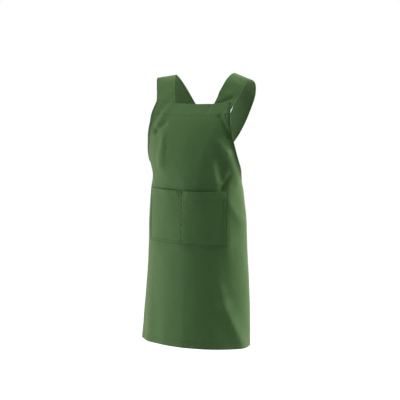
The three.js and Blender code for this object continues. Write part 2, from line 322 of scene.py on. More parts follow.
class SmoothRows:
    """Smooth curve through rows of numbers that stand at increasing places on a line."""

    def __init__(self, places: np.ndarray, rows: np.ndarray) -> None:
        """Works out the slope at each row.

        Args:
            places: where each row stands.
            rows: the numbers, a row for each place.
        """
        self.places = np.asarray(places, float)
        self.rows = np.asarray(rows, float)
        steps = np.diff(self.places)[:, None]
        chords = np.diff(self.rows, axis=0) / steps
        inner = (chords[:-1] * steps[1:] + chords[1:] * steps[:-1]) / (steps[:-1] + steps[1:])
        self.slopes = np.vstack([chords[:1], inner, chords[-1:]])

    @classmethod
    def by_length(cls, rows: tuple, length_columns: int) -> "SmoothRows":
        """Curve whose places are the lengths walked from row to row.

        Args:
            rows: the numbers, a row for each place.
            length_columns: how many first columns are coordinates.

        Returns:
            The curve.
        """
        gaps = np.diff(np.asarray(rows, float)[:, :length_columns], axis=0)
        walked = np.cumsum(np.linalg.norm(gaps, axis=1))
        return cls(np.concatenate([[0.0], walked]), np.asarray(rows, float))

    @property
    def length(self) -> float:
        """Place of the last row."""
        return float(self.places[-1])

    def at(self, place: np.ndarray) -> np.ndarray:
        """Numbers at any places.

        Args:
            place: places to read, of any shape.

        Returns:
            Array of that shape with one more axis for the columns.
        """
        held = np.clip(place, self.places[0], self.places[-1])
        first = np.clip(np.searchsorted(self.places, held) - 1, 0, len(self.places) - 2)
        step = (self.places[first + 1] - self.places[first])[..., None]
        u = (held - self.places[first])[..., None] / step
        start_share = 2 * u**3 - 3 * u**2 + 1
        start_slope = (u**3 - 2 * u**2 + u) * step
        end_slope = (u**3 - u**2) * step
        ends = self.rows[first] * start_share + self.rows[first + 1] * (1 - start_share)
        return ends + self.slopes[first] * start_slope + self.slopes[first + 1] * end_slope


@dataclass(frozen=True)
class Askew:
    """How the worn apron hangs a little askew above the waist, fully so from the bib's top upwards."""

    start: float = -260.0
    full: float = BIB_TOP
    bib_shift: float = -3.5  # along x
    strap_shift: float = 2.0
    lean: float = 0.02  # rise for each millimetre of x
    strap_roll: float = 0.1  # turn of the straps' normals along x where they face up

    def share(self, z: np.ndarray) -> np.ndarray:
        """How fully the apron hangs askew at a level, from 0 to 1."""
        return ease(self.start, self.full, z)

    def set(self, points: np.ndarray, shift: float) -> np.ndarray:
        """Points moved from the even form to where they hang.

        Args:
            points: points of the even form, in millimetres.
            shift: how far the piece is moved along x.

        Returns:
            The moved points.
        """
        share = self.share(points[..., 2])
        moved = points.copy()
        moved[..., 0] += shift * share
        moved[..., 2] += self.lean * points[..., 0] * share
        return moved


class WornForm:
    """Smooth surface on which the flat cut lies when the apron is worn."""

    QUADRATURE = np.polynomial.legendre.leggauss(16)
    STEPS = 7
    OUTLINE_POINTS = 361

    def __init__(self, sections: tuple, askew: Askew) -> None:
        """Makes the curve through the sections.

        Args:
            sections: rows as in SECTIONS, from the top down.
            askew: how the apron hangs.
        """
        self.askew = askew
        upwards = np.asarray(sections[::-1], float)
        self.sections = SmoothRows(upwards[:, 0], upwards[:, 1:])

    def arc(self, across: np.ndarray, along: np.ndarray, turn: np.ndarray) -> np.ndarray:
        """Length of a quarter ellipse from its start, where it runs across, to a turn.

        Args:
            across: half axis in the direction of the start.
            along: the other half axis.
            turn: angle reached, in radians.

        Returns:
            Lengths in millimetres.
        """
        nodes, weights = self.QUADRATURE
        angle = turn[..., None] * (nodes + 1) / 2
        speed = np.hypot(across[..., None] * np.cos(angle), along[..., None] * np.sin(angle))
        return speed @ weights * turn / 2

    def turn_at(self, walked: np.ndarray, across: np.ndarray, along: np.ndarray) -> np.ndarray:
        """Turn of a quarter ellipse at which a length is walked.

        Args:
            walked: lengths from the start.
            across: half axis in the direction of the start.
            along: the other half axis.

        Returns:
            Angles in radians.
        """
        turn = np.clip(walked / np.maximum(across, along), 0, math.pi / 2)
        for _ in range(self.STEPS):
            speed = np.hypot(across * np.cos(turn), along * np.sin(turn))
            turn = np.clip(turn - (self.arc(across, along, turn) - walked) / speed, 0, math.pi / 2)
        return turn

    def point(self, w: np.ndarray, s: np.ndarray) -> np.ndarray:
        """Points of the worn panel, before any fold.

        Args:
            w: places across the flat cut.
            s: places down the flat cut.

        Returns:
            Points, in millimetres.
        """
        z = BIB_TOP - s
        half_width, front, back, centre = np.moveaxis(self.sections.at(z), -1, 0)
        walked = np.abs(w)
        quarter = self.arc(half_width, front, np.full_like(z, math.pi / 2))
        front_turn = self.turn_at(np.minimum(walked, quarter), half_width, front)
        back_turn = self.turn_at(np.maximum(walked - quarter, 0), back, half_width)
        x = half_width * np.sin(front_turn) * np.cos(back_turn)
        y = centre - front * np.cos(front_turn) + back * np.sin(back_turn)
        even = np.stack([np.sign(w) * x, y, z], axis=-1)
        return self.askew.set(even, self.askew.bib_shift)

    def flat_place(self, points: np.ndarray) -> tuple[np.ndarray, np.ndarray]:
        """Places of the flat cut beside points of the even form.

        Args:
            points: points, in millimetres, in one row.

        Returns:
            The places w and s.
        """
        z = points[:, 2]
        half_width, front, back, centre = (c[:, None] for c in self.sections.at(z).T)
        turn = np.linspace(0, math.pi, self.OUTLINE_POINTS)[None, :]
        depth = np.where(np.cos(turn) >= 0, front, back)
        outline = np.stack([half_width * np.sin(turn), centre - depth * np.cos(turn)], axis=-1)
        start = outline[:, :-1]
        along = outline[:, 1:] - start
        length = np.linalg.norm(along, axis=-1)
        beside = np.stack([np.abs(points[:, 0]), points[:, 1]], axis=-1)[:, None, :]
        share = np.clip(((beside - start) * along).sum(-1) / length**2, 0, 1)
        miss = np.linalg.norm(start + share[..., None] * along - beside, axis=-1)
        closest = miss.argmin(axis=1)
        row = np.arange(len(points))
        walked = np.concatenate([np.zeros((len(points), 1)), np.cumsum(length, axis=1)], axis=1)
        w = walked[row, closest] + share[row, closest] * length[row, closest]
        return np.sign(points[:, 0]) * w, BIB_TOP - z


class PanelSurface:
    """Outer face of the panel with its folds and slow waves."""

    PROBE = 1.0  # step when the surface's direction is measured

    def __init__(self, form: WornForm, folds: tuple[Fold, ...], ripples: tuple) -> None:
        """Keeps the form and what is laid on it.

        Args:
            form: smooth worn form.
            folds: folds and creases.
            ripples: rows as in RIPPLES.
        """
        self.form = form
        self.folds = folds
        self.ripples = ripples

    def height(self, w: np.ndarray, s: np.ndarray) -> np.ndarray:
        """Height of all folds and waves.

        Args:
            w: places across the flat cut.
            s: places down the flat cut.

        Returns:
            Heights in millimetres.
        """
        height = sum(fold.height(w, s) for fold in self.folds)
        for wavelength, direction, phase, size in self.ripples:
            heading = math.radians(direction)
            travelled = w * math.cos(heading) + s * math.sin(heading)
            height = height + size * np.sin(2 * math.pi * travelled / wavelength + phase)
        return height

    def direction(self, surface: Callable[..., np.ndarray], w: np.ndarray, s: np.ndarray) -> np.ndarray:
        """Outward directions of a surface that is a function of w and s.

        Args:
            surface: function that gives points for w and s.
            w: places across the flat cut.
            s: places down the flat cut.

        Returns:
            Directions of length one.
        """
        across = surface(w + self.PROBE, s) - surface(w - self.PROBE, s)
        down = surface(w, s + self.PROBE) - surface(w, s - self.PROBE)
        return unit(np.cross(down, across))

    def point(self, w: np.ndarray, s: np.ndarray) -> np.ndarray:
        """Points of the outer face at places of the flat cut."""
        lift = self.height(w, s)[..., None]
        return self.form.point(w, s) + self.direction(self.form.point, w, s) * lift

    def outward(self, w: np.ndarray, s: np.ndarray) -> np.ndarray:
        """Outward directions of the outer face at places of the flat cut."""
        return self.direction(self.point, w, s)


@dataclass(frozen=True)
class Seam:
    """Row of stitches beside an edge: how it presses the cloth and draws it into small puckers."""

    stitch: float  # from the edge
    groove: float = 0.45
    groove_reach: float = 1.2
    pucker: float = 0.22
    pucker_reach: float = 6.0
    pucker_length: float = 15.0

    # Waves that make the puckers uneven along the seam: size, length and phase.
    WANDER = ((1.3, 47.0, 0.0), (0.8, 19.0, 2.0))

    def press(self, distance: np.ndarray) -> np.ndarray:
        """Depth to which the stitches press each face of the cloth, by distance from the edge."""
        return self.groove * bell(distance - self.stitch, self.groove_reach)

    def puckers(self, distance: np.ndarray, along: np.ndarray) -> np.ndarray:
        """Height of the puckers.

        Args:
            distance: distances from the edge.
            along: places along the edge.

        Returns:
            Heights in millimetres.
        """
        wander = sum(size * np.sin(along / length + phase) for size, length, phase in self.WANDER)
        wave = np.sin(2 * math.pi * along / self.pucker_length + wander)
        return self.pucker * wave * bell(distance - self.stitch, self.pucker_reach)


@dataclass(frozen=True)
class Hem(Seam):
    """Edge that is turned in and sewn down."""

    depth: float = 10.0
    step: float = 0.7  # over which the turned layer ends
    ridge: float = 0.3  # by which the turned layer shows on the outer face

    # Where the lines of the cloth's grid lie.
    EDGE_LINES = (0, 0.6, 1.6, 3.2)  # from the edge
    STITCH_LINES = (-2.2, -1.1, 0, 1.1)  # from the stitches
    INSIDE_START = 6.4  # from the edge
    INSIDE_STEP = 4.2
    INSIDE_STOP = 3.6  # short of the stitches
    PAST_LAYER = 2.5  # past the end of the turned layer

    def doubled(self, distance: np.ndarray) -> np.ndarray:
        """Share of the turned layer, by distance from the edge."""
        return 1 - ease(self.depth - self.step, self.depth + self.step, distance)

    def distances(self) -> np.ndarray:
        """Distances from the edge at which the cloth's grid follows the hem.

        Returns:
            Rising distances, in millimetres.
        """
        inside = np.arange(self.INSIDE_START, self.stitch - self.INSIDE_STOP, self.INSIDE_STEP)
        near = self.stitch + np.array(self.STITCH_LINES)
        end = self.depth + np.array([-self.step, 0, self.step, self.PAST_LAYER])
        every = np.concatenate([self.EDGE_LINES, inside, near, end])
        return np.unique(np.round(every, 3))


class HemWork(NamedTuple):
    """What hems do to a cloth at each point of its grid."""

    doubled: np.ndarray  # share of the turned layer
    ridge: np.ndarray  # by which the turned layer shows on the outer face
    press: np.ndarray  # depth of the stitches' grooves
    pucker: np.ndarray  # height of the puckers

    @classmethod
    def of(cls, edges: tuple[tuple[Hem, np.ndarray, np.ndarray], ...]) -> "HemWork":
        """Work of several hems together.

        Args:
            edges: each hem, with the points' distances from its edge and their places along it.

        Returns:
            The work at each point.
        """
        doubled = np.max([hem.doubled(distance) for hem, distance, _ in edges], axis=0)
        ridge = np.max([hem.ridge * hem.doubled(distance) for hem, distance, _ in edges], axis=0)
        press = sum(hem.press(distance) for hem, distance, _ in edges)
        pucker = sum(hem.puckers(distance, along) for hem, distance, along in edges)
        return cls(doubled, ridge, press, pucker)


class Thread(NamedTuple):
    """Line of stitches on a face: its points and the outward directions there."""

    points: np.ndarray
    outward: np.ndarray


class ClothShell:
    """Closed cloth between an outer and an inner grid of points, with a rolled edge all round."""

    ROLL = tuple(math.radians(turn) for turn in (40, 90, 140))

    def __init__(self, outer: np.ndarray, inner: np.ndarray, cut: np.ndarray, painted_shade: np.ndarray) -> None:
        """Keeps the grids.

        Args:
            outer: points of the outer face, rows by columns, in millimetres.
            inner: points of the inner face.
            cut: place of each point in the flat cut.
            painted_shade: how much painted shade each point gets, at seams and in creases, from 0 to 1.
        """
        self.outer = outer
        self.inner = inner
        self.cut = cut
        self.painted_shade = np.clip(painted_shade, 0, 1)
        self.rows, self.columns = outer.shape[:2]

    def ring(self) -> np.ndarray:
        """Grid numbers of the border, once round.

        Returns:
            The numbers, from the first corner.
        """
        grid = np.arange(self.rows * self.columns).reshape(self.rows, self.columns)
        sides = (grid[0, :-1], grid[:-1, -1], grid[-1, :0:-1], grid[:0:-1, 0])
        return np.concatenate(sides)

    def away(self) -> np.ndarray:
        """Directions in which the border points away from the cloth.

        Returns:
            Directions of length one, in the order of the ring.
        """
        middle = (self.outer + self.inner) / 2
        push = np.zeros_like(middle)
        push[0] += unit(middle[0] - middle[1])
        push[-1] += unit(middle[-1] - middle[-2])
        push[:, 0] += unit(middle[:, 0] - middle[:, 1])
        push[:, -1] += unit(middle[:, -1] - middle[:, -2])
        return unit(push.reshape(-1, 3)[self.ring()])

    def faces(self) -> np.ndarray:
        """Faces of the outer grid, the inner grid and the rolled edge.

        Returns:
            Four corner numbers for each face.
        """
        grid = np.arange(self.rows * self.columns).reshape(self.rows, self.columns)
        corners = (grid[:-1, :-1], grid[1:, :-1], grid[1:, 1:], grid[:-1, 1:])
        outside = np.stack(corners, axis=-1).reshape(-1, 4)
        inside = outside[:, ::-1] + grid.size
        ring = self.ring()
        first_loop = 2 * grid.size
        loops = [ring]
        for turn in range(len(self.ROLL)):
            loops.append(first_loop + turn * len(ring) + np.arange(len(ring)))
        loops.append(ring + grid.size)
        bands = []
        for near, far in zip(loops[:-1], loops[1:]):
            bands.append(np.stack([near, np.roll(near, -1), np.roll(far, -1), far], axis=-1))
        return np.concatenate([outside, inside, *bands])

    def on_all_points(self, grid: np.ndarray) -> np.ndarray:
        """Values of the grid's points, given to both faces and to each loop of the rolled edge."""
        return np.concatenate([grid, grid] + [grid[self.ring()]] * len(self.ROLL))

    def build(self, name: str) -> bpy.types.Object:
        """Makes the mesh object, with a UV map of the flat cut and the painted shade as an attribute.

        Args:
            name: name of the piece.

        Returns:
            The object, linked to the scene.
        """
        ring = self.ring()
        outer = self.outer.reshape(-1, 3)
        inner = self.inner.reshape(-1, 3)
        middle = (outer[ring] + inner[ring]) / 2
        half = (outer[ring] - inner[ring]) / 2
        bulge = self.away() * np.linalg.norm(half, axis=-1, keepdims=True)
        loops = [middle + half * math.cos(turn) + bulge * math.sin(turn) for turn in self.ROLL]
        points = np.concatenate([outer, inner, *loops]) * METRES
        cut = self.on_all_points(self.cut.reshape(-1, 2)) * METRES
        painted_shade = self.on_all_points(self.painted_shade.reshape(-1))
        faces = self.faces()
        mesh = bpy.data.meshes.new(name)
        mesh.from_pydata(points.tolist(), [], faces.tolist())
        mesh.update()
        layer = mesh.uv_layers.new(name="cut")
        layer.data.foreach_set("uv", cut[faces.reshape(-1)].reshape(-1).astype(np.float32))
        attribute = mesh.attributes.new("painted_shade", "FLOAT", "POINT")
        attribute.data.foreach_set("value", painted_shade.astype(np.float32))
        mesh.shade_smooth()
        return put_in_scene(name, mesh)


class NodeBoard:
    """Short way to place and join the nodes of one tree."""

    NOISE_ROUGHNESS = 0.55
    MIX_INPUTS = (6, 7)  # places of the two colours among a mix node's inputs
    MIX_OUTPUT = 2  # place of the mixed colour among its outputs

    def __init__(self, tree: bpy.types.NodeTree) -> None:
        """Keeps the tree and empties it.

        Args:
            tree: node tree to fill.
        """
        self.tree = tree
        tree.nodes.clear()

    @classmethod
    def on_material(cls, name: str) -> tuple[bpy.types.Material, "NodeBoard"]:
        """Makes a material to fill.

        Args:
            name: name of the material.

        Returns:
            The material and the board of its nodes.
        """
        material = bpy.data.materials.new(name)
        material.use_nodes = True
        return material, cls(material.node_tree)

    def add(self, kind: str, settings: dict | None = None, **inputs: SocketValue) -> bpy.types.Node:
        """Adds a node.

        Args:
            kind: Blender's name of the node type.
            settings: properties of the node.
            inputs: values or output sockets for its inputs, by name with _ for spaces.

        Returns:
            The node.
        """
        node = self.tree.nodes.new(kind)
        for name, value in (settings or {}).items():
            setattr(node, name, value)
        for name, value in inputs.items():
            self.feed(node.inputs[name.replace("_", " ")], value)
        return node

    def feed(self, socket: bpy.types.NodeSocket, value: SocketValue) -> None:
        """Joins an output to an input, or sets the input's own value.

        Args:
            socket: the input.
            value: output socket or plain value.
        """
        if isinstance(value, bpy.types.NodeSocket):
            self.tree.links.new(value, socket)
        else:
            socket.default_value = value

    def sum(self, kind: str, first: SocketValue, second: SocketValue) -> bpy.types.NodeSocket:
        """Result of one arithmetic node.

        Args:
            kind: operation of the node, such as ADD.
            first: first value or socket.
            second: second value or socket.

        Returns:
            The result's socket.
        """
        node = self.add("ShaderNodeMath", {"operation": kind})
        self.feed(node.inputs[0], first)
        self.feed(node.inputs[1], second)
        return node.outputs[0]

    def mix(self, share: SocketValue, first: SocketValue, second: SocketValue) -> bpy.types.NodeSocket:
        """Colour between two others.

        Args:
            share: 0 for the first colour up to 1 for the second.
            first: first colour or socket.
            second: second colour or socket.

        Returns:
            The colour's socket.
        """
        node = self.add("ShaderNodeMix", {"data_type": "RGBA"}, Factor=share)
        for place, colour in zip(self.MIX_INPUTS, (first, second)):
            self.feed(node.inputs[place], colour)
        return node.outputs[self.MIX_OUTPUT]

    def spread(self, value: SocketValue, low: float, high: float) -> bpy.types.NodeSocket:
        """Value from 0 to 1 as a value between two others."""
        node = self.add("ShaderNodeMapRange", Value=value, To_Min=low, To_Max=high)
        return node.outputs["Result"]

    def noise(self, place: bpy.types.NodeSocket, scale: float, detail: float) -> bpy.types.NodeSocket:
        """Noise from 0 to 1.

        Args:
            place: socket of the coordinates, in metres.
            scale: patches for each metre.
            detail: number of finer layers.

        Returns:
            The noise's socket.
        """
        node = self.add(
            "ShaderNodeTexNoise",
            Vector=place,
            Scale=scale,
            Detail=detail,
            Roughness=self.NOISE_ROUGHNESS,
        )
        return node.outputs["Fac"]


@dataclass(frozen=True)
class TwillFinish:
    """Plain dyed cotton twill: matt, with a fine diagonal rib, soft mottling and painted shade at the
    seams.
    """

    name: str
    deep: Colour = (0.064, 0.150, 0.043)
    pale: Colour = (0.080, 0.180, 0.055)
    painted_shade_colour: Colour = (0.026, 0.068, 0.015)  # painted shade colour, in the grooves and at the edges of the seams and in creases
    mottle_scale: float = 16.0  # patches for each metre
    mottle_shift: tuple[float, float] = (0.0, 0.7)  # least and most turn from deep to pale
    fibre_scale: float = 1400.0
    fibre_shift: tuple[float, float] = (-0.2, 0.3)
    fibre_relief: float = 0.5  # share of the rib's height
    rib_pitch: float = 0.0014
    rib_angle: float = 63.0
    rib_wobble: float = 1.2
    rib_shift: tuple[float, float] = (-0.12, 0.12)
    rib_relief: float = 0.75
    rib_height: float = 0.00016
    rib_strength: float = 0.5
    crumple_scale: float = 34.0  # soft dents for each metre
    crumple_height: float = 0.0016
    crumple_strength: float = 0.6
    roughness: tuple[float, float] = (0.74, 0.86)
    sheen: float = 0.3
    sheen_roughness: float = 0.42
    sheen_tint: Colour = (1.0, 0.95, 0.72)
    specular: float = 0.3

    WAVE_LENGTH = math.pi / 10  # of one band of the wave texture at a scale of 1

    def material(self) -> bpy.types.Material:
        """Makes the material's nodes.

        Returns:
            The material.
        """
        material, board = NodeBoard.on_material(self.name)
        cut = board.add("ShaderNodeUVMap", {"uv_map": "cut"}).outputs["UV"]
        # How much painted shade each point of the mesh gets.
        painted_shade = board.add("ShaderNodeAttribute", {"attribute_name": "painted_shade"}).outputs["Fac"]
        rib = self.rib(board, cut)
        mottle = board.noise(cut, self.mottle_scale, detail=3)
        fibre = board.noise(cut, self.fibre_scale, detail=2)
        mottled = board.spread(mottle, *self.mottle_shift)
        shade = board.sum("ADD", mottled, board.spread(fibre, *self.fibre_shift))
        shade = board.sum("ADD", shade, board.spread(rib, *self.rib_shift))
        dyed = board.mix(shade, (*self.deep, 1), (*self.pale, 1))
        # Painted shade: the dyed colour turns to a darker green where the mesh's shade share asks for it.
        cloth = board.add(
            "ShaderNodeBsdfPrincipled",
            Base_Color=board.mix(painted_shade, dyed, (*self.painted_shade_colour, 1)),
            Roughness=board.spread(fibre, *self.roughness),
            Normal=self.relief(board, cut, rib, fibre),
            Sheen_Weight=self.sheen,
            Sheen_Roughness=self.sheen_roughness,
            Sheen_Tint=(*self.sheen_tint, 1),
            Specular_IOR_Level=self.specular,
        )
        board.add("ShaderNodeOutputMaterial", Surface=cloth.outputs["BSDF"])
        return material

    def relief(
        self,
        board: NodeBoard,
        cut: bpy.types.NodeSocket,
        rib: bpy.types.NodeSocket,
        fibre: bpy.types.NodeSocket,
    ) -> bpy.types.NodeSocket:
        """Direction of the face, with the cloth's soft dents and the weave on top of them.

        Args:
            board: board to place the nodes on.
            cut: socket of the flat cut's coordinates.
            rib: socket of the weave's rib.
            fibre: socket of the fibres' noise.

        Returns:
            The direction's socket.
        """
        crumpled = board.add(
            "ShaderNodeBump",
            Strength=self.crumple_strength,
            Distance=self.crumple_height,
            Height=board.noise(cut, self.crumple_scale, detail=3),
        )
        ribs = board.sum("MULTIPLY", rib, self.rib_relief)
        fibres = board.sum("MULTIPLY", fibre, self.fibre_relief)
        woven = board.add(
            "ShaderNodeBump",
            Strength=self.rib_strength,
            Distance=self.rib_height,
            Height=board.sum("ADD", ribs, fibres),
            Normal=crumpled.outputs["Normal"],
        )
        return woven.outputs["Normal"]

    def rib(self, board: NodeBoard, cut: bpy.types.NodeSocket) -> bpy.types.NodeSocket:
        """Diagonal rib of the weave, from 0 between the ribs to 1 on them.

        Args:
            board: board to place the nodes on.
            cut: socket of the flat cut's coordinates.

        Returns:
            The rib's socket.
        """
        turned = board.add("ShaderNodeMapping", Vector=cut)
        turned.inputs["Rotation"].default_value = (0, 0, math.radians(self.rib_angle))
        wave = board.add(
            "ShaderNodeTexWave",
            {"wave_type": "BANDS", "bands_direction": "X", "wave_profile": "SIN"},
            Vector=turned.outputs["Vector"],
            Scale=self.WAVE_LENGTH / self.rib_pitch,
            Distortion=self.rib_wobble,
            Detail=1.0,
        )
        return wave.outputs["Fac"]


@dataclass(frozen=True)
class ThreadFinish:
    """Sewing thread dyed to match the cloth."""

    name: str
    deep: Colour = (0.052, 0.125, 0.036)
    pale: Colour = (0.080, 0.178, 0.056)
    roughness: tuple[float, float] = (0.55, 0.70)
    strand_scale: float = 2600.0  # for each metre
    strand_height: float = 0.0001
    strand_strength: float = 0.4

    def material(self) -> bpy.types.Material:
        """Makes the material's nodes.

        Returns:
            The material.
        """
        material, board = NodeBoard.on_material(self.name)
        place = board.add("ShaderNodeTexCoord").outputs["Object"]
        strand = board.noise(place, self.strand_scale, detail=1)
        twisted = board.add(
            "ShaderNodeBump",
            Strength=self.strand_strength,
            Distance=self.strand_height,
            Height=strand,
        )
        thread = board.add(
            "ShaderNodeBsdfPrincipled",
            Base_Color=board.mix(strand, (*self.deep, 1), (*self.pale, 1)),
            Roughness=board.spread(strand, *self.roughness),
            Normal=twisted.outputs["Normal"],
        )
        board.add("ShaderNodeOutputMaterial", Surface=thread.outputs["BSDF"])
        return material


@dataclass
class StitchMaker:
    """Lays stitches along threads with one geometry node tree."""

    finish: ThreadFinish
    pitch: float = 3.0
    length: float = 2.4
    width: float = 0.75
    thickness: float = 0.5
    bead_segments: int = 6
    bead_rings: int = 4
    tree: bpy.types.NodeTree = field(init=False)
    material: bpy.types.Material = field(init=False)

    def __post_init__(self) -> None:
        """Makes the material and the node tree."""
        self.material = self.finish.material()
        self.tree = self.make_tree()

    def make_tree(self) -> bpy.types.NodeTree:
        """Node tree that spaces stitches along a line and turns each one to its face.

        Returns:
            The tree, with named inputs for the sizes.
        """
        tree = bpy.data.node_groups.new("stitch_row", "GeometryNodeTree")
        board = NodeBoard(tree)
        tree.interface.new_socket("Threads", in_out="INPUT", socket_type="NodeSocketGeometry")
        for size in ("Pitch", "Length", "Width", "Thickness"):
            tree.interface.new_socket(size, in_out="INPUT", socket_type="NodeSocketFloat")
        tree.interface.new_socket("Finish", in_out="INPUT", socket_type="NodeSocketMaterial")
        tree.interface.new_socket("Stitches", in_out="OUTPUT", socket_type="NodeSocketGeometry")
        given = board.add("NodeGroupInput").outputs
        curve = board.add("GeometryNodeMeshToCurve", Mesh=given["Threads"])
        spaced = board.add(
            "GeometryNodeResampleCurve",
            {"mode": "LENGTH"},
            Curve=curve.outputs["Curve"],
            Length=given["Pitch"],
        )
        outward = board.add(
            "GeometryNodeInputNamedAttribute",
            {"data_type": "FLOAT_VECTOR"},
            Name="outward",
        )
        turned = board.add("FunctionNodeAxesToRotation", {"primary_axis": "X", "secondary_axis": "Z"})
        board.feed(turned.inputs[0], board.add("GeometryNodeInputTangent").outputs["Tangent"])
        board.feed(turned.inputs[1], outward.outputs["Attribute"])
        bead = board.add(
            "GeometryNodeMeshUVSphere",
            Segments=self.bead_segments,
            Rings=self.bead_rings,
            Radius=0.5,  # one across, so that the stitch's sizes scale it
        )
        size = board.add("ShaderNodeCombineXYZ", X=given["Length"], Y=given["Width"], Z=given["Thickness"])
        stitch = board.add(
            "GeometryNodeTransform",
            Geometry=bead.outputs["Mesh"],
            Scale=size.outputs["Vector"],
        )
        smooth = board.add("GeometryNodeSetShadeSmooth", Geometry=stitch.outputs["Geometry"])
        laid = board.add(
            "GeometryNodeInstanceOnPoints",
            Points=spaced.outputs["Curve"],
            Instance=smooth.outputs["Geometry"],
            Rotation=turned.outputs["Rotation"],
        )
        real = board.add("GeometryNodeRealizeInstances", Geometry=laid.outputs["Instances"])
        dressed = board.add(
            "GeometryNodeSetMaterial",
            Geometry=real.outputs["Geometry"],
            Material=given["Finish"],
        )
        board.add("NodeGroupOutput", Stitches=dressed.outputs["Geometry"])
        return tree

    def lay(self, name: str, threads: list[Thread]) -> bpy.types.Object:
        """Makes one piece of all the stitches along some threads.

        Args:
            name: name of the piece.
            threads: lines to follow.

        Returns:
            The object, a plain mesh.
        """
        line = self.thread_mesh(f"{name}_line", threads)
        guide = put_in_scene(f"{name}_line", line)
        modifier = guide.modifiers.new("stitches", "NODES")
        modifier.node_group = self.tree
        sizes = {
            "Pitch": self.pitch * METRES,
            "Length": self.length * METRES,
            "Width": self.width * METRES,
            "Thickness": self.thickness * METRES,
            "Finish": self.material,
        }
        for item in self.tree.interface.items_tree:
            if item.name in sizes:
                modifier[item.identifier] = sizes[item.name]
        shaped = guide.evaluated_get(bpy.context.evaluated_depsgraph_get())
        mesh = bpy.data.meshes.new_from_object(shaped)
        mesh.name = name
        bpy.data.objects.remove(guide)
        bpy.data.meshes.remove(line)
        return put_in_scene(name, mesh)

    def thread_mesh(self, name: str, threads: list[Thread]) -> bpy.types.Mesh:
        """Edges along all threads, with the outward directions as an attribute.

        Args:
            name: name of the mesh.
            threads: lines to follow.

        Returns:
            The mesh.
        """
        edges = []
        count = 0
        for thread in threads:
            number = np.arange(count, count + len(thread.points))
            edges.extend(zip(number[:-1].tolist(), number[1:].tolist()))
            count += len(thread.points)
        mesh = bpy.data.meshes.new(name)
        points = np.concatenate([thread.points for thread in threads]) * METRES
        mesh.from_pydata(points.tolist(), edges, [])
        attribute = mesh.attributes.new("outward", "FLOAT_VECTOR", "POINT")
        outward = np.concatenate([thread.outward for thread in threads])
        attribute.data.foreach_set("vector", outward.reshape(-1).astype(np.float32))
        return mesh


